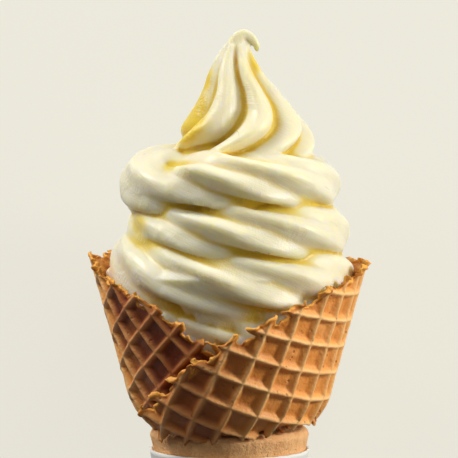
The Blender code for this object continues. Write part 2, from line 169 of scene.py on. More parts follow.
# lights: name, place to the right, up and towards the camera, size, power, colour
LAMPS = [
    ("key", (0.80, 0.24, 0.20), (0.15, 0.22), 6.8, (1.0, 0.98, 0.92)),
    ("above", (0.26, 0.74, 0.36), (0.25, 0.25), 1.5, (1.0, 0.975, 0.91)),
    ("left_edge", (-0.52, 0.62, 0.0), (0.12, 0.30), 4.8, (1.0, 0.985, 0.95)),
    ("left_sheen", (-0.50, 0.46, 0.34), (0.18, 0.20), 1.3, (1.0, 0.985, 0.96)),
    ("front_fill", (0.1, 0.3, 0.85), (0.5, 0.5), 0.85, (1.0, 0.96, 0.88)),
]

# fineness of the ice, a coarser fineness that the rounds of smoothing are scaled against, and the most
# triangles it may have
QUICK_GRAIN = 0.8
ICE_GRAIN = 0.5
ICE_FACES = 190000
# distances from a rib's middle where the sheet has lines of points
RIB_LINES = (0.0, 0.3, 0.65, 1.05, 1.45, 1.85, 2.5, 3.3, 4.08)


def smooth_table(table, place):
    """Values of a table at the given places, on a smooth curve through its rows."""
    rows = np.array(table, float)
    keys = rows[:, 0]
    values = rows[:, 1:]
    slopes = np.gradient(values, keys, axis=0)
    at = np.clip(np.searchsorted(keys, place, side="right") - 1, 0, len(keys) - 2)
    span = (keys[at + 1] - keys[at])[:, None]
    t = np.clip((place - keys[at])[:, None] / span, 0.0, 1.0)
    start = (2 * t**3 - 3 * t**2 + 1) * values[at] + (t**3 - 2 * t**2 + t) * span * slopes[at]
    end = (3 * t**2 - 2 * t**3) * values[at + 1] + (t**3 - t**2) * span * slopes[at + 1]
    return (start + end).T


def smooth_step(low, high, value):
    """0 at low, 1 at high, eased between, and flat beyond; low may be the larger."""
    t = np.clip((value - low) / (high - low), 0.0, 1.0)
    return t * t * (3 - 2 * t)


def rough(points, size, octaves=3, seed=0.0):
    """Smooth noise between -1 and 1 at each point, with lumps of about the given size."""
    return np.array([noise.fractal(Vector(p) / size + Vector((seed, 0, 0)), 0.7, 2.1, octaves)
                     for p in points])


# ---------------------------------------------------------------- shader wiring


class Wire:
    """A node's output, with sums written as plain expressions."""

    def __init__(self, tree, socket):
        self.tree = tree
        self.socket = socket

    def node(self, kind, settings=None, inputs=None, output=0):
        """Add a node: its settings first, then the values or links of its sockets."""
        made = self.tree.nodes.new(kind)
        for name, value in (settings or {}).items():
            setattr(made, name, value)
        for name, value in (inputs or {}).items():
            if isinstance(value, Wire):
                self.tree.links.new(value.socket, made.inputs[name])
            else:
                made.inputs[name].default_value = value
        return Wire(self.tree, made.outputs[output])

    def math(self, operation, first, second=0.0):
        return self.node("ShaderNodeMath", {"operation": operation}, {0: first, 1: second})

    def __add__(self, other):
        return self.math("ADD", self, other)

    def __radd__(self, other):
        return self.math("ADD", other, self)

    def __sub__(self, other):
        return self.math("SUBTRACT", self, other)

    def __rsub__(self, other):
        return self.math("SUBTRACT", other, self)

    def __mul__(self, other):
        return self.math("MULTIPLY", self, other)

    def __rmul__(self, other):
        return self.math("MULTIPLY", other, self)

    def __truediv__(self, other):
        return self.math("DIVIDE", self, other)

    def __pow__(self, other):
        return self.math("POWER", self, other)

    def span(self, low, high, start=0.0, end=1.0):
        """Moved from one range to another, eased at both ends."""
        return self.node("ShaderNodeMapRange", {"interpolation_type": "SMOOTHSTEP"},
                         {"Value": self, "From Min": low, "From Max": high, "To Min": start, "To Max": end})

    def mix(self, colour, other, blend="MIX"):
        """Colour to other colour, as this value goes from 0 to 1."""
        return self.node("ShaderNodeMix", {"data_type": "RGBA", "blend_type": blend},
                         {0: self, 6: colour, 7: other}, 2)

    def scaled(self, x, y, z):
        return self.node("ShaderNodeVectorMath", {"operation": "MULTIPLY"}, {0: self, 1: (x, y, z)})

    def noise(self, scale, detail=3.0, roughness=0.55):
        return self.node("ShaderNodeTexNoise", {},
                         {"Vector": self, "Scale": scale, "Detail": detail, "Roughness": roughness})

    def cells(self, scale):
        return self.node("ShaderNodeTexVoronoi", {}, {"Vector": self, "Scale": scale})

    def bump(self, strength, distance, below=None):
        inputs = {"Height": self, "Strength": strength, "Distance": distance}
        if below:
            inputs["Normal"] = below
        return self.node("ShaderNodeBump", {}, inputs)


class Finish:
    """A material whose surface shader takes constants directly and varying values by wire."""

    def __init__(self, name, **constants):
        self.material = bpy.data.materials.new(name)
        self.material.use_nodes = True
        self.tree = self.material.node_tree
        self.shader = self.tree.nodes["Principled BSDF"]
        for key, value in constants.items():
            self.shader.inputs[key.replace("_", " ").title().replace("Ior", "IOR")].default_value = value
        self.start = Wire(self.tree, None)

    def place(self):
        """Place on the object, in its own metres."""
        return self.start.node("ShaderNodeTexCoord", {}, {}, 3)

    def painted(self, name, output=2):
        """A value stored on the mesh: 2 for a number, 1 for a vector."""
        return self.start.node("ShaderNodeAttribute", {"attribute_name": name}, {}, output)

    def feed(self, **wires):
        for key, wire in wires.items():
            self.tree.links.new(wire.socket, self.shader.inputs[key.replace("_", " ").title()])
        return self.material


def ice_finish():
    """Cold cream: pale on its crests, with painted golden shade in its hollows and painted glow on a few
    spots, torn grain.
    """
    finish = Finish("vanilla_ice", subsurface_weight=1.0, subsurface_scale=0.0045, ior=1.4)
    finish.shader.inputs["Subsurface Radius"].default_value = (1.0, 0.88, 0.34)
    hollow_shade = finish.painted("hollow_shade")
    torn = finish.painted("torn")
    flow = finish.painted("flow", 1)
    place = finish.place()
    lines = flow.scaled(120.0, 900.0, 0.0).noise(1.0, 3.0)
    tears = flow.scaled(1500.0, 420.0, 0.0).noise(1.0, 2.0)
    cloud = place.noise(55.0, 2.0)
    colour = cloud.span(0.35, 0.7).mix((0.815, 0.77, 0.585, 1), (0.79, 0.735, 0.54, 1))
    # painted shade: golden, deeper yellow colour in the hollows of the ice, with the painted glow spots
    # mixed in
    colour = hollow_shade.span(0.0, 0.28).mix(colour, (0.80, 0.70, 0.36, 1))
    colour = hollow_shade.span(0.14, 0.44).mix(colour, (0.76, 0.56, 0.06, 1))
    colour = (torn * tears.span(0.45, 0.75) * 0.5).mix(colour, (0.82, 0.79, 0.62, 1))
    rough_look = lines.span(0.3, 0.7, 0.27, 0.42) + torn * 0.14
    fine = place.noise(2200.0, 2.0)
    base = fine.bump(0.20, 0.0004)
    along = lines.bump(0.32, 0.0005, base)
    across = (tears * torn).bump(0.7, 0.0006, along)
    return finish.feed(base_color=colour, roughness=rough_look, normal=across)


def waffle_finish():
    """Baked batter: pale ribs, browner pits, a darker crisp edge with a painted highlight along its lip,
    painted shade on two flaps, darker patches, small bubbles and specks.
    """
    finish = Finish("waffle", ior=1.45, subsurface_weight=0.06, subsurface_scale=0.002)
    finish.shader.inputs["Subsurface Radius"].default_value = (1.0, 0.5, 0.2)
    pit_depth = finish.painted("pit")
    edge = finish.painted("edge")
    place = finish.place()
    cloud = place.noise(38.0, 3.0)
    patch = place.noise(150.0, 4.0)
    grain = place.noise(900.0, 3.0)
    browning_and_shade = finish.painted("browning_and_shade")
    colour = pit_depth.span(0.0, 0.55).mix((0.98, 0.56, 0.215, 1), (0.88, 0.38, 0.085, 1))
    colour = pit_depth.span(0.6, 1.0).mix(colour, (0.78, 0.29, 0.05, 1))
    colour = (cloud.span(0.4, 0.7) * 0.6).mix(colour, (0.72, 0.26, 0.045, 1))
    colour = (patch.span(0.5, 0.75) * 0.35).mix(colour, (0.97, 0.54, 0.20, 1))
    # painted shade: the inner flap near the cut and the outer flap low at the front are darkened, the pit
    # floors there most, besides darker patches at random
    colour = browning_and_shade.mix(colour, (0.46, 0.245, 0.13, 1), "MULTIPLY")
    colour = (browning_and_shade * pit_depth.span(0.2, 0.8)).mix(colour, (0.50, 0.40, 0.40, 1), "MULTIPLY")
    colour = edge.span(0.10, 0.60).mix(colour, (0.60, 0.20, 0.018, 1))
    # painted highlight: a bright golden line along the very lip of the edge
    colour = edge.span(0.80, 0.99).mix(colour, (0.93, 0.43, 0.07, 1))
    bubbles = place.cells(420.0)
    specks = bubbles.span(0.10, 0.24, 1.0, 0.0) * patch.span(0.45, 0.6)
    colour = (specks * 0.6).mix(colour, (0.26, 0.085, 0.02, 1))
    base = grain.bump(0.65, 0.0005)
    pores = (specks * -1.0 + patch).bump(0.55, 0.0006, base)
    gloss = patch.span(0.3, 0.7, 0.48, 0.68)
    return finish.feed(base_color=colour, roughness=gloss, normal=pores)


def wafer_finish():
    """Moulded wafer: fine grain, pale, in uneven tone, with small dark pores."""
    finish = Finish("wafer", ior=1.45, subsurface_weight=0.08, subsurface_scale=0.002)
    place = finish.place()
    grain = place.noise(1300.0, 4.0, 0.7)
    cloud = place.noise(120.0, 3.0)
    pores = place.cells(900.0)
    colour = cloud.span(0.35, 0.7).mix((0.92, 0.50, 0.21, 1), (0.76, 0.36, 0.125, 1))
    colour = (grain.span(0.45, 0.7) * 0.6).mix(colour, (0.95, 0.62, 0.32, 1))
    colour = (pores.span(0.05, 0.2, 1.0, 0.0) * 0.6).mix(colour, (0.34, 0.15, 0.05, 1))
    base = grain.bump(0.7, 0.0005)
    holes = pores.span(0.0, 0.3).bump(0.6, 0.0004, base)
    return finish.feed(base_color=colour, roughness=grain.span(0.3, 0.7, 0.62, 0.82), normal=holes)


def paper_finish():
    """White wrapping paper with fine fibres."""
    finish = Finish("white_paper", ior=1.45)
    place = finish.place()
    fibre = place.scaled(1.0, 2.4, 1.0).noise(700.0, 4.0, 0.7)
    cloud = place.noise(60.0, 2.0)
    colour = cloud.span(0.3, 0.7).mix((0.80, 0.80, 0.765, 1), (0.76, 0.76, 0.73, 1))
    colour = (fibre.span(0.5, 0.75) * 0.4).mix(colour, (0.86, 0.86, 0.83, 1))
    return finish.feed(base_color=colour, roughness=fibre.span(0.3, 0.7, 0.52, 0.66),
                       normal=fibre.bump(0.22, 0.0003))


def floor_finish():
    """A pale warm studio ground that glows a little, so shadows stay soft."""
    finish = Finish("studio_ground", roughness=0.9)
    finish.shader.inputs["Base Color"].default_value = (0.11, 0.108, 0.095, 1)
    finish.shader.inputs["Specular IOR Level"].default_value = 0.0
    finish.shader.inputs["Emission Color"].default_value = (0.85, 0.83, 0.73, 1)
    finish.shader.inputs["Emission Strength"].default_value = 0.87
    return finish.material


# ---------------------------------------------------------------- the rolled waffle sheet


def bowl_radius(height):
    """Outer radius of the bowl over its rib crests."""
    straight = RIM_RADIUS - (RIM_HEIGHT - height) * math.tan(BOWL_SLOPE)
    below = np.maximum(BEND_HEIGHT - height, 0.0)
    return straight - BEND * below**2


# distance along the bowl's slanted side at each height, from the height called MIDDLE
HEIGHTS = np.linspace(-4.0, 62.0, 800)
STEPS = np.hypot(np.diff(HEIGHTS), np.diff(bowl_radius(HEIGHTS)))
SLANTS = np.concatenate([[0.0], np.cumsum(STEPS)])
SLANTS = SLANTS - np.interp(MIDDLE, HEIGHTS, SLANTS)
MIDDLE_RADIUS = float(bowl_radius(MIDDLE))


def sheet_frames():
    """The flat sheet's own axes along its length: origin, and the way the cone's slant points."""
    place = np.arange(-20.0, SHEET_LENGTH + 21.0)
    middle = np.exp(-((place - LAYER_MIDDLE) / 62.0) ** 4)
    turn = np.radians(np.cumsum(0.28 - 0.25 * middle))
    turn = turn - np.interp(FRONT, place, turn)
    step = math.radians(MIDDLE_RADIUS)
    along = np.cumsum(np.cos(turn)) * step
    across = np.cumsum(-np.sin(turn)) * step
    along = along - np.interp(FRONT, place, along)
    across = across - np.interp(FRONT, place, across)
    return place, turn, along, across


FRAMES = sheet_frames()


def flat_to_bowl(u, v):
    """Where a point of the flat sheet goes: place along the sheet in degrees, and height."""
    place, turn, along, across = FRAMES
    x = u * math.cos(RIB_LEAN) + v * math.sin(RIB_LEAN)
    y = -u * math.sin(RIB_LEAN) + v * math.cos(RIB_LEAN)
    s = FRONT + np.degrees(x / MIDDLE_RADIUS)
    for _ in range(40):
        angle = np.interp(s, place, turn)
        dx = x - np.interp(s, place, along)
        dy = y - np.interp(s, place, across)
        miss = dx * np.cos(angle) - dy * np.sin(angle)
        s = np.clip(s + 0.7 * np.degrees(miss / MIDDLE_RADIUS), -19.0, SHEET_LENGTH + 19.0)
    slant = dx * np.sin(angle) + dy * np.cos(angle)
    return s, np.interp(slant, SLANTS, HEIGHTS), np.abs(miss)


def bowl_to_flat(s, height):
    """The point of the flat sheet that lands at this place and height."""
    place, turn, along, across = FRAMES
    angle = np.interp(s, place, turn)
    slant = np.interp(height, HEIGHTS, SLANTS)
    x = np.interp(s, place, along) + slant * np.sin(angle)
    y = np.interp(s, place, across) + slant * np.cos(angle)
    u = x * math.cos(RIB_LEAN) - y * math.sin(RIB_LEAN)
    v = x * math.sin(RIB_LEAN) + y * math.cos(RIB_LEAN)
    return u, v


def sheet_top(s):
    """Height of the sheet's upper edge: the outer flap rises, the rim runs on, the inner falls."""
    outer = smooth_table(OUTER_FLAP, np.clip(s, OUTER_FLAP[0][0], OUTER_FLAP[-1][0]))[0]
    inner = smooth_table(INNER_FLAP, np.clip(s, INNER_FLAP[0][0], INNER_FLAP[-1][0]))[0]
    rim = RIM_HEIGHT - 1.0 * np.cos(np.radians(s - 164.0)) + 0.6 * np.sin(np.radians(s * 3.0))
    return np.where(s < OUTER_FLAP[-1][0], outer, np.where(s > INNER_FLAP[0][0], inner, rim))


def sheet_foot(s):
    """How far the sheet's lower edge stands above the bowl's foot."""
    return smooth_table(FOOT, s)[0]


def edge_dip(s):
    """How much lower the upper edge is over a pit: more on the cut flaps than round the rim."""
    return 3.4 - 2.0 * smooth_step(140.0, 175.0, s) * smooth_step(372.0, 345.0, s)


def pit(u, v, softness):
    """1 on the floor of a pit, 0 on the crest of a rib, with rounded shoulders."""
    def away(w, shift):
        return np.abs(np.mod(w - shift + RIB_PITCH / 2, RIB_PITCH) - RIB_PITCH / 2)
    def down(distance):
        t = np.clip((distance - RIB_CREST * softness) / (RIB_CREST * (1 - softness) + RIB_SLOPE), 0.0, 1.0)
        return 0.7 * t + 0.3 * t * t * (3 - 2 * t)
    return np.minimum(down(away(u, RIB_SHIFT[0])), down(away(v, RIB_SHIFT[1])))


def wrap(s, height, outward):
    """Point of the rolled sheet, moved along the bowl's own outward direction."""
    lift = LAYER_STEP * (LAYER_MIDDLE - s) / 360.0
    slope = (bowl_radius(height + 0.05) - bowl_radius(height - 0.05)) / 0.1
    size = np.hypot(slope, 1.0)
    radius = bowl_radius(height) + (lift + outward) / size
    up = height - slope * (lift + outward) / size
    turn = np.radians(s - FRONT)
    return np.stack([radius * np.sin(turn) - AXIS_SHIFT, -radius * np.cos(turn), up], 1)


def grid_lines(low, high, shift):
    """The sheet's lines of points in one direction, close together at each rib."""
    first = math.floor((low - shift) / RIB_PITCH)
    last = math.ceil((high - shift) / RIB_PITCH)
    offsets = sorted(set(RIB_LINES) | {RIB_PITCH - line for line in RIB_LINES[1:]})
    offsets = [d for k, d in enumerate(offsets) if k == 0 or d - offsets[k - 1] > 0.1]
    return np.array([shift + k * RIB_PITCH + d for k in range(first, last + 1) for d in offsets])


def clipped_grid(us, vs, inside):
    """Points (u, v) and faces of a grid of lines, cut where the value at its crossings turns negative."""
    points = []
    numbers = {}

    def number(key, point):
        if key not in numbers:
            numbers[key] = len(points)
            points.append(point)
        return numbers[key]

    faces = []
    wanted = np.maximum.reduce([inside[:-1, :-1], inside[1:, :-1], inside[1:, 1:], inside[:-1, 1:]]) > 0
    for i, j in zip(*np.nonzero(wanted)):
        corners = [(i, j), (i + 1, j), (i + 1, j + 1), (i, j + 1)]
        face = []
        for a, b in zip(corners, corners[1:] + corners[:1]):
            if inside[a] > 0:
                face.append(number(a, (us[a[0]], vs[a[1]])))
            if (inside[a] > 0) != (inside[b] > 0):
                one, two = min(a, b), max(a, b)
                t = min(max(inside[one] / (inside[one] - inside[two]), 0.03), 0.97)
                spot = (us[one[0]] + t * (us[two[0]] - us[one[0]]),
                        vs[one[1]] + t * (vs[two[1]] - vs[one[1]]))
                face.append(number((one, two), spot))
        if len(face) > 2:
            faces.append(tuple(face))
    return points, faces


def waffle_bowl():
    """The rolled sheet as one thin corrugated shell with a crisp, uneven edge."""
    s, h = np.meshgrid(np.linspace(-8, SHEET_LENGTH + 8, 300), np.linspace(0, RIM_HEIGHT + 3, 40))
    u, v = bowl_to_flat(s.ravel(), h.ravel())
    us = grid_lines(u.min(), u.max(), RIB_SHIFT[0])
    vs = grid_lines(v.min(), v.max(), RIB_SHIFT[1])
    gu, gv = [g.ravel() for g in np.meshgrid(us, vs, indexing="ij")]
    s, h, miss = flat_to_bowl(gu, gv)
    near = (miss < SHEET_MISS) & (h > -3) & (h < sheet_top(s) + 4)
    wobble = np.zeros_like(gu)
    wobble[near] = rough(np.stack([gu, gv, 0 * gu], 1)[near], 2.8, 3)
    floor_dip = edge_dip(s) * pit(gu, gv, RIB_SOFTNESS) ** 2
    side = np.minimum(s - SHEET_START, SHEET_LENGTH - s) * 0.6
    above = h - BOWL_FOOT - sheet_foot(s) - 0.9 * pit(gu, gv, RIB_SOFTNESS) + 0.8 * wobble
    below = sheet_top(s) - h - floor_dip + 0.5 * edge_dip(s) * wobble
    inside = np.minimum(below, np.minimum(above, side))
    inside = np.where(miss > SHEET_MISS, -1.0, inside).reshape(len(us), len(vs))
    points, faces = clipped_grid(us, vs, inside)
    uv = np.array(points)
    flat = np.stack([uv[:, 0], uv[:, 1], np.zeros(len(uv))], 1)
    s, h, _ = flat_to_bowl(uv[:, 0], uv[:, 1])
    bend_u = uv[:, 0] + 0.28 * rough(flat, 9.0, 2, 7.0)
    bend_v = uv[:, 1] + 0.28 * rough(flat, 9.0, 2, 19.0)
    low = pit(bend_u, bend_v, 0.35)
    top = sheet_top(s)
    from_edge = np.minimum(top - h - edge_dip(s) * pit(uv[:, 0], uv[:, 1], RIB_SOFTNESS) ** 2,
                           (h - BOWL_FOOT - sheet_foot(s)) * 2.0 + 1.0)
    crisp = 1.0 - smooth_step(0.0, 2.6, from_edge + 0.5 * rough(flat, 2.5, 2, 3.0))
    deep = PIT_DEPTH * (1.0 + 0.10 * rough(flat, 14.0, 1, 31.0))
    lump = 0.10 * rough(flat, 2.0, 3, 43.0) + 0.16 * rough(flat, 7.0, 2, 51.0)
    curl = crisp * (0.45 + 1.5 * rough(flat, 3.0, 2, 61.0))
    h = h + crisp * 0.8 * rough(flat, 2.6, 2, 71.0)
    s = s + crisp * 1.5 * rough(flat, 2.6, 2, 81.0)
    outward = -deep * low + lump + curl
    skin = wrap(s, h, outward)
    lining = wrap(s, h, outward - SHEET + 0.3 * crisp)

    work = bmesh.new()
    skin = [work.verts.new(p) for p in skin]
    lining = [work.verts.new(p) for p in lining]
    sides = {}
    for face in faces:
        work.faces.new([skin[k] for k in face])
        work.faces.new([lining[k] for k in reversed(face)])
        for a, b in zip(face, face[1:] + face[:1]):
            sides[(a, b)] = True
    for a, b in sides:
        if (b, a) not in sides:
            work.faces.new([skin[b], skin[a], lining[a], lining[b]])
    mesh = bpy.data.meshes.new("rolled_waffle")
    work.to_mesh(mesh)
    work.free()
    # painted shade on the inner flap near the cut and on the outer flap low at the front, lower down and
    # more in the pits; patches are darker places at random on the sheet beyond place 190
    flaps = np.exp(-((s - 414.0) / 42.0) ** 4) + 0.7 * np.exp(-((s - 58.0) / 26.0) ** 2)
    patches = 0.7 * smooth_step(0.15, 0.6, rough(flat, 24.0, 2, 91.0)) * (s > 190)
    browning_and_shade = np.clip((flaps * smooth_step(58.0, 34.0, h) + patches) * (0.75 + 0.25 * low), 0.0, 1.0)
    store(mesh, "browning_and_shade", np.concatenate([browning_and_shade, browning_and_shade]))
    store(mesh, "pit", np.concatenate([low, low]))
    store(mesh, "edge", np.concatenate([crisp, np.maximum(crisp, 0.15)]))
    return laid_down(drop_crumbs(mesh), waffle_finish(), "waffle_bowl")


def drop_crumbs(mesh):
    """Keep only the largest body of a mesh."""
    work = bmesh.new()
    work.from_mesh(mesh)
    left = set(work.verts)
    bodies = []
    while left:
        body = []
        stack = [left.pop()]
        while stack:
            vert = stack.pop()
            body.append(vert)
            for edge in vert.link_edges:
                other = edge.other_vert(vert)
                if other in left:
                    left.remove(other)
                    stack.append(other)
        bodies.append(body)
    bodies.sort(key=len)
    for body in bodies[:-1]:
        bmesh.ops.delete(work, geom=body, context="VERTS")
    work.to_mesh(mesh)
    work.free()
    return mesh


# ---------------------------------------------------------------- the piped ice


def loft(rings):
    """A closed skin over rings of equal length, with a fan at each end."""
    count, sides, _ = rings.shape
    points = rings.reshape(-1, 3).tolist() + [rings[0].mean(0).tolist(), rings[-1].mean(0).tolist()]
    faces = []
    for i in range(count - 1):
        for j in range(sides):
            k = (j + 1) % sides
            faces.append((i * sides + j, i * sides + k, (i + 1) * sides + k, (i + 1) * sides + j))
    for j in range(sides):
        k = (j + 1) % sides
        faces.append((count * sides, k, j))
        faces.append((count * sides + 1, (count - 1) * sides + j, (count - 1) * sides + k))
    return points, faces


def ring(turns, reach, level):
    """Points round the axis at one level."""
    return np.stack([reach * np.sin(turns), -reach * np.cos(turns), np.full_like(turns, level)], -1)


def strand_rings(steps=110, sides=96):
    """The fluted strand, coiled clockwise and rising from the right of the shown side."""
    turns = np.linspace(STRAND[0][0], STRAND[-1][0], int(steps * STRAND[-1][0]))
    height, reach, half_height, half_width = smooth_table(STRAND, turns)
    turn = math.pi / 2 - 2 * math.pi * turns
    round_it = np.linspace(0.0, 2 * math.pi, sides, endpoint=False)[None, :]
    crest = FLUTE_PHASE + FLUTE_TWIST * turn[:, None]
    shallow, deep = FLUTE_DEPTH
    depth = shallow + (deep - shallow) * np.cos(turn)[:, None] ** 2
    wave = 0.5 + 0.5 * np.cos(FLUTES * (round_it - crest))
    size = 1 - depth + depth * (0.5 * wave**1.4 + 0.5 * np.sqrt(wave))
    out = np.sign(np.cos(round_it)) * np.abs(np.cos(round_it)) ** 0.8 * size
    up = np.sign(np.sin(round_it)) * np.abs(np.sin(round_it)) ** 0.8 * size
    radius = (reach - half_width)[:, None] + half_width[:, None] * out
    level = height[:, None] + half_height[:, None] * up - 0.12 * half_width[:, None] * np.maximum(out, 0)
    return np.stack([radius * np.sin(turn)[:, None], -radius * np.cos(turn)[:, None], level], -1)


def fluted(turn, grooves):
    """Radius factor round a fluted section: a rounded crest between each two grooves."""
    at = np.mod(turn, 360.0)
    rows = sorted((np.mod(place, 360.0), depth, width) for place, depth, width in grooves)
    last, first = rows[-1], rows[0]
    rows = [(last[0] - 360.0,) + last[1:]] + rows + [(first[0] + 360.0,) + first[1:]]
    factor = np.ones_like(at)
    for (start, depth, width), (end, next_depth, next_width) in zip(rows, rows[1:]):
        t = (at - start) / (end - start)
        here = (t >= 0) & (t <= 1)
        t = np.clip(t, 0.0, 1.0) ** 0.8
        rise = np.sin(np.pi * t) ** (width + (next_width - width) * t)
        factor = np.where(here, 1 - (depth + (next_depth - depth) * t) * (1 - rise), factor)
    return factor


def peak_rings(steps=120, sides=160):
    """The peak: flutes that rise straight and curl away to the left at its foot."""
    level = np.linspace(PEAK[0][0], PEAK[-1][0], steps)
    centre, radius, twist = smooth_table(PEAK, level)
    turn = np.linspace(0.0, 360.0, sides, endpoint=False)[None, :]
    size = radius[:, None] * fluted(turn - twist[:, None], PEAK_GROOVES)
    x = centre[:, None] + size * np.sin(np.radians(turn))
    y = -size * np.cos(np.radians(turn))
    return np.stack([x, y, np.broadcast_to(level[:, None], x.shape)], -1)[:, ::-1]


def curl_rings(steps=60, sides=40):
    """The drawn-out tip, which bends over to the right and ends ragged."""
    rows = np.array(CURL)
    place = np.linspace(0.0, len(rows) - 1.0, steps)
    x, z, radius = smooth_table(np.column_stack([np.arange(len(rows)), rows]), place)
    heading = np.arctan2(np.gradient(z), np.gradient(x))
    turn = np.linspace(0.0, 2 * math.pi, sides, endpoint=False)[None, :]
    reach = radius[:, None] * (1 - 0.22 * (1 - np.abs(np.cos(1.5 * turn + 0.5))))
    side = reach * np.cos(turn)
    return np.stack([x[:, None] - np.sin(heading)[:, None] * side, reach * np.sin(turn) * 0.9 - 0.4,
                     z[:, None] + np.cos(heading)[:, None] * side], -1)


def core_rings(sides=96):
    """What fills the bowl and the middle of the coils."""
    turn = np.linspace(0.0, 2 * math.pi, sides, endpoint=False)[None, :]
    level = np.array([2.6, 4.0] + list(range(8, 60, 4)) + [60.0, 70.0, 80.0, 86.0])[:, None]
    above = np.interp(level, [40.0, 50.0, 60.0, 80.0, 86.0], [60.0, 33.0, 28.0, 20.0, 12.0])
    rim = bowl_top(np.degrees(turn).ravel())[None, :]
    radius = np.minimum(bowl_room(np.degrees(turn), level) - 4.0 * smooth_step(rim - 5.0, rim, level), above)
    x = radius * np.sin(turn) - AXIS_SHIFT
    y = -radius * np.cos(turn)
    return np.stack([x, y, np.broadcast_to(level, x.shape)], -1)[:, ::-1]


def bowl_room(turn, height, clear=0.5):
    """Radius free for the ice inside the innermost layer of the sheet that stands this high."""
    place = np.mod(turn + FRONT, 360.0)
    under = np.interp(place, [0.0, 183.0, 200.0, 360.0], [360.0, 543.0, 200.0, 360.0])
    under_top = sheet_top(np.clip(under, 347.0, SHEET_LENGTH).ravel()).reshape(under.shape)
    lapped = smooth_step(under_top + 5.0, under_top + 2.0, height) * (place < 200.0)
    innermost = np.where(place < 200.0, place + lapped * (under - place), place)
    lift = LAYER_STEP * (LAYER_MIDDLE - innermost) / 360.0
    steep = math.tan(BOWL_SLOPE) + 2 * BEND * np.maximum(BEND_HEIGHT + 1.0 - height, 0.0)
    return bowl_radius(height) + (lift - PIT_DEPTH - SHEET) * np.hypot(steep, 1.0) - clear


def bowl_top(turn):
    """Height of the bowl's inner edge at a turn round the axis."""
    place = np.mod(turn + FRONT, 360.0)
    inner = np.where(place < 185.0, sheet_top(np.minimum(place + 360.0, SHEET_LENGTH)), 0.0)
    return np.maximum(sheet_top(place), inner)


def piped_ice():
    """Strand, peak and core, run together into one body and kept inside the bowl."""
    points = []
    faces = []
    for rings in (strand_rings(), peak_rings(), curl_rings(), core_rings()):
        more, skin = loft(rings)
        faces += [tuple(k + len(points) for k in face) for face in skin]
        points += more
    place = np.array(points)
    turn = np.degrees(np.arctan2(place[:, 0] + AXIS_SHIFT, -place[:, 1]))
    reach = np.hypot(place[:, 0] + AXIS_SHIFT, place[:, 1])
    room = bowl_room(turn, place[:, 2])
    within = np.clip((bowl_top(turn) + 1.5 - place[:, 2]) / 2.5, 0.0, 1.0)
    shrink = np.where(reach > room, 1 + within * (room / np.maximum(reach, 1e-6) - 1), 1.0)
    place[:, 0] = (place[:, 0] + AXIS_SHIFT) * shrink - AXIS_SHIFT
    place[:, 1] = place[:, 1] * shrink
    mesh = bpy.data.meshes.new("ice_form")
    mesh.from_pydata(place.tolist(), [], faces)
    face_outward(mesh)
    ice = bpy.data.objects.new("ice_form", mesh)
    bpy.context.scene.collection.objects.link(ice)
    join = ice.modifiers.new("run together", "REMESH")
    join.mode = "VOXEL"
    join.voxel_size = ICE_GRAIN
    ease = ice.modifiers.new("ease", "SMOOTH")
    ease.factor = 0.5
    ease.iterations = 2
    mesh = settled(ice)
    if 2 * len(mesh.polygons) > ICE_FACES:
        thin = ice.modifiers.new("fewer faces", "DECIMATE")
        thin.ratio = ICE_FACES / (2 * len(mesh.polygons))
        mesh = settled(ice)
    bpy.data.objects.remove(ice)
    mesh.name = "piped_ice"
    return laid_down(worked_ice(mesh), ice_finish(), "soft_serve")


def face_outward(mesh):
    """Turn every face's front to the outside."""
    work = bmesh.new()
    work.from_mesh(mesh)
    bmesh.ops.recalc_face_normals(work, faces=work.faces)
    work.to_mesh(mesh)
    work.free()


def settled(piece):
    """The piece's mesh with its modifiers applied."""
    graph = bpy.context.evaluated_depsgraph_get()
    return bpy.data.meshes.new_from_object(piece.evaluated_get(graph))


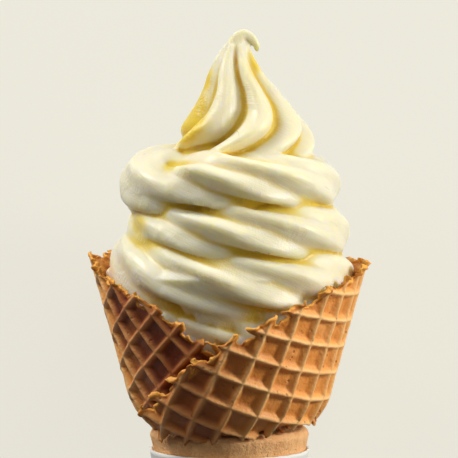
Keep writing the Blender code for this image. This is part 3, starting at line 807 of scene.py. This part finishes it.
def worked_ice(mesh):
    """Soft unevenness on the ice, and what its finish needs: hollows, torn places, flow, and where shade and
    glow are painted.
    """
    count = len(mesh.vertices)
    place = np.empty(count * 3)
    mesh.vertices.foreach_get("co", place)
    place = place.reshape(-1, 3)
    normal = np.empty(count * 3)
    mesh.vertices.foreach_get("normal", normal)
    normal = normal.reshape(-1, 3)
    ends = np.empty(len(mesh.edges) * 2, int)
    mesh.edges.foreach_get("vertices", ends)
    a, b = ends[0::2], ends[1::2]
    degree = np.bincount(ends, minlength=count)[:, None]

    def eased(values, rounds):
        """Each point's values, drawn halfway to its neighbours' in every round."""
        for _ in range(rounds):
            total = np.stack([np.bincount(a, values[b, k], count) + np.bincount(b, values[a, k], count)
                              for k in range(values.shape[1])], 1)
            values = 0.5 * values + 0.5 * total / degree
        return values

    for across, back, height, size, depth in HOLLOWS:
        spot = np.array([across, back, height])
        pull = depth * np.exp(-(((place - spot) / size) ** 2).sum(1))
        place = place - normal * pull[:, None]
    place = eased(place, 1)
    wide = eased(place, round(60 * (QUICK_GRAIN / ICE_GRAIN) ** 2))
    # how deep each point lies in a hollow, painted in the finish as golden shade
    hollow_shade = ((wide - place) * normal).sum(1)
    hollow_shade = eased(hollow_shade[:, None], 2)[:, 0]
    turn = np.arctan2(place[:, 0], -place[:, 1])
    arc = STRAND_REACH * turn
    along = arc - STRAND_CLIMB * place[:, 2]
    across = place[:, 2] + STRAND_CLIMB * arc
    upper = place[:, 2] > PEAK_FOOT
    along = np.where(upper, place[:, 2], along)
    across = np.where(upper, PEAK_REACH * turn, across)
    flow = np.stack([along, across, 0 * arc], 1)
    patch = smooth_step(-0.1, 0.45, rough(flow, 9.0, 2, 5.0))
    left = smooth_step(0.1, 0.75, -normal[:, 0] - 0.2 * normal[:, 2])
    torn = np.clip(patch * 0.35 + left * patch + 0.6 * smooth_step(0.3, 1.0, hollow_shade) * left, 0, 1)
    ripple = rough(flow * np.array([1.0, 0.35, 0]), 1.3, 2, 9.0)
    lump = rough(place, 7.0, 2, 13.0)
    place = place + normal * (0.05 * torn * ripple + 0.16 * lump)[:, None]
    mesh.vertices.foreach_set("co", place.ravel())
    painted_glow = np.zeros(count)
    # painted glow: golden spots on faces turned to the shown side, standing in for light coming through the
    # ice
    for across, height, half_width, half_height, amount in PAINTED_GLOW:
        near = ((place[:, 0] - across) / half_width) ** 2 + ((place[:, 2] - height) / half_height) ** 2
        painted_glow = np.maximum(painted_glow, amount * np.exp(-near) * smooth_step(0.2, -0.3, normal[:, 1]))
    # painted shade in the hollows, with the painted glow spots, kept in one value for the finish
    store(mesh, "hollow_shade", np.clip(np.maximum(0.55 * hollow_shade + 0.3 * painted_glow, painted_glow), 0, 1))
    store(mesh, "torn", torn)
    layer = mesh.attributes.new("flow", "FLOAT_VECTOR", "POINT")
    layer.data.foreach_set("vector", (flow * MM).ravel())
    return mesh


# ---------------------------------------------------------------- the stem and its sleeve


def stem_profile():
    """Radius and height down the stem: shoulder, band, then the body inside the sleeve."""
    shoulder = [(STEM_RADIUS - SHOULDER * (1 - math.sin(a)), STEM_TOP - SHOULDER * (1 - math.cos(a)))
                for a in np.linspace(0.0, math.pi / 2, 10)]
    top = SLEEVE_RADIUS - PAPER - GAP
    low = SLEEVE_TOP - SLEEVE_LENGTH + TIP_ROUND
    fall = math.tan(SLEEVE_SLOPE)
    shoulder_foot = shoulder[-1][1]
    band = [(STEM_RADIUS + (top - STEM_RADIUS) * t, shoulder_foot + (SLEEVE_TOP + GAP - shoulder_foot) * t)
            for t in (0.25, 0.5, 0.75, 1.0)]
    body = [(top - (SLEEVE_TOP - z) * fall, z) for z in (BAND_BOTTOM, -20.0, -50.0, -80.0, low)]
    return [(0.01, STEM_TOP), (12.0, STEM_TOP)] + shoulder + band + body + [(0.01, low)]


def wafer_stem():
    """The moulded stem, with faint upright marks of its mould round the band."""
    turns = np.linspace(0.0, 2 * math.pi, 480, endpoint=False)
    rings = []
    for radius, level in stem_profile():
        shown = smooth_step(15.0, 22.0, np.array(radius)) * smooth_step(-6.0, -3.0, np.array(level))
        flutes = 0.05 * np.abs(np.sin(turns * 40)) * shown
        reach = np.full_like(turns, radius) - flutes
        spots = ring(turns, reach, level)
        if shown > 0:
            spots[:, :2] *= 1 + (0.16 * rough(spots, 2.2, 3, 77.0) * shown / max(radius, 1.0))[:, None]
            spots[:, 2] += 0.12 * rough(spots, 3.0, 2, 87.0) * shown
        rings.append(spots)
    points, faces = loft(np.array(rings))
    mesh = bpy.data.meshes.new("wafer_stem")
    mesh.from_pydata(points, [], faces)
    return laid_down(mesh, wafer_finish(), "wafer_base")


def paper_cone():
    """The sleeve: paper wrapped once round with a lapped seam at the back left, slightly buckled."""
    fall = math.tan(SLEEVE_SLOPE)
    low = SLEEVE_TOP - SLEEVE_LENGTH
    tip = SLEEVE_RADIUS - (SLEEVE_LENGTH - TIP_ROUND) * fall
    turns = np.linspace(0.0, 2 * math.pi, 360, endpoint=False)
    degrees = np.degrees(turns)
    lap = smooth_step(0.0, 1.0, (degrees - 250.0) / 1.5) * smooth_step(0.0, 1.0, (272.0 - degrees) / 14.0)
    rings = []
    for level in np.linspace(SLEEVE_TOP, low + TIP_ROUND, 90):
        depth = SLEEVE_TOP - level
        radius = SLEEVE_RADIUS - depth * fall
        buckle = 0.10 * np.sin(turns * 5 + level * 0.05) * smooth_step(0.0, 30.0, np.array(depth))
        reach = radius + 0.35 * lap + buckle
        rings.append(ring(turns, reach, level))
    for a in np.linspace(math.pi / 2, 0.0, 8)[1:]:
        reach = np.full_like(turns, tip - TIP_ROUND * 0.7 * (1 - math.sin(a)))
        level = low + TIP_ROUND * (1 - math.cos(a))
        rings.append(ring(turns, reach, level))
    inside = []
    for level in (SLEEVE_TOP, -20.0, -50.0, -80.0, low + TIP_ROUND - GAP):
        reach = np.full_like(turns, SLEEVE_RADIUS - PAPER - (SLEEVE_TOP - level) * fall)
        inside.append(ring(turns, reach, level))
    points, faces = loft(np.array(inside[::-1] + rings))
    mesh = bpy.data.meshes.new("paper_cone")
    mesh.from_pydata(points, [], faces)
    return laid_down(mesh, paper_finish(), "paper_sleeve")


# ---------------------------------------------------------------- putting it together


def store(mesh, name, values):
    """Keep one number for each point, for a finish to read."""
    layer = mesh.attributes.new(name, "FLOAT", "POINT")
    layer.data.foreach_set("value", np.asarray(values, float))


def resting_place():
    """From the upright millimetres to the frame: tipped back, then set against the CAD stem."""
    tip = Matrix.Rotation(-(math.pi / 2 - LEAN), 4, "X") @ Matrix.Scale(MM, 4)
    low, high = [Vector(corner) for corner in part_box("wafer_base")]
    rim = [tip @ Vector((r * math.sin(t), -r * math.cos(t), z)) for r, z in stem_profile()
           for t in np.linspace(0, 2 * math.pi, 41)]
    shift = Vector(((low.x + high.x) / 2, high.y - max(p.y for p in rim), high.z - max(p.z for p in rim)))
    return Matrix.Translation(shift) @ tip


PLACE = resting_place()


def laid_down(mesh, material, node):
    """A mesh in its resting place, flattened where it meets the ground, riding on the part."""
    mesh.transform(PLACE)
    for vertex in mesh.vertices:
        vertex.co.z = max(vertex.co.z, 0.0)
    face_outward(mesh)
    mesh.materials.clear()
    mesh.materials.append(material)
    mesh.shade_smooth()
    piece = bpy.data.objects.new(mesh.name, mesh)
    bpy.context.scene.collection.objects.link(piece)
    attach(piece, "root")
    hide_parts(node)
    return piece


def studio():
    """Floor, camera and lights."""
    mesh = bpy.data.meshes.new("ground")
    work = bmesh.new()
    bmesh.ops.create_grid(work, x_segments=8, y_segments=8, size=GROUND_HALF)
    work.to_mesh(mesh)
    work.free()
    mesh.materials.append(floor_finish())
    ground = bpy.data.objects.new("ground", mesh)
    bpy.context.scene.collection.objects.link(ground)
    ground.visible_diffuse = False

    axis = Vector((0, math.cos(LEAN), math.sin(LEAN)))
    front = Vector((0, -math.sin(LEAN), math.cos(LEAN)))
    towards = front * math.cos(CAMERA_TILT) + axis * math.sin(CAMERA_TILT)
    up = axis * math.cos(CAMERA_TILT) - front * math.sin(CAMERA_TILT)
    right = Vector((1, 0, 0))
    middle = PLACE @ Vector(CAMERA_TARGET)
    camera = bpy.data.cameras.new("camera")
    camera.sensor_width = FILM
    camera.lens = FILM * CAMERA_DISTANCE / CAMERA_FIELD
    camera.clip_start = 0.05
    eye = bpy.data.objects.new("camera", camera)
    eye.location = middle + towards * CAMERA_DISTANCE
    eye.rotation_mode = "QUATERNION"
    eye.rotation_quaternion = towards.to_track_quat("Z", "Y")
    bpy.context.scene.collection.objects.link(eye)
    bpy.context.scene.camera = eye

    def lamp(name, place, size, power, colour):
        light = bpy.data.lights.new(name, "AREA")
        light.shape = "RECTANGLE"
        light.size, light.size_y = size
        light.energy = power
        light.color = colour
        thing = bpy.data.objects.new(name, light)
        spot = right * place[0] + up * place[1] + towards * place[2]
        back = spot.normalized()
        side = up.cross(back).normalized()
        turned = Matrix((side, back.cross(side), back)).transposed().to_4x4()
        thing.matrix_world = Matrix.Translation(middle + spot) @ turned
        bpy.context.scene.collection.objects.link(thing)

    for name, place, size, power, colour in LAMPS:
        lamp(name, place, size, power, colour)
    world = bpy.data.worlds.new("studio")
    world.use_nodes = True
    sky = world.node_tree.nodes["Background"]
    sky.inputs["Color"].default_value = (0.9, 0.9, 0.86, 1)
    sky.inputs["Strength"].default_value = 0.09
    bpy.context.scene.world = world
    bpy.context.scene.view_settings.view_transform = "Standard"


def main():
    piped_ice()
    waffle_bowl()
    wafer_stem()
    paper_cone()
    studio()


main()
bpy.context.view_layer.update()
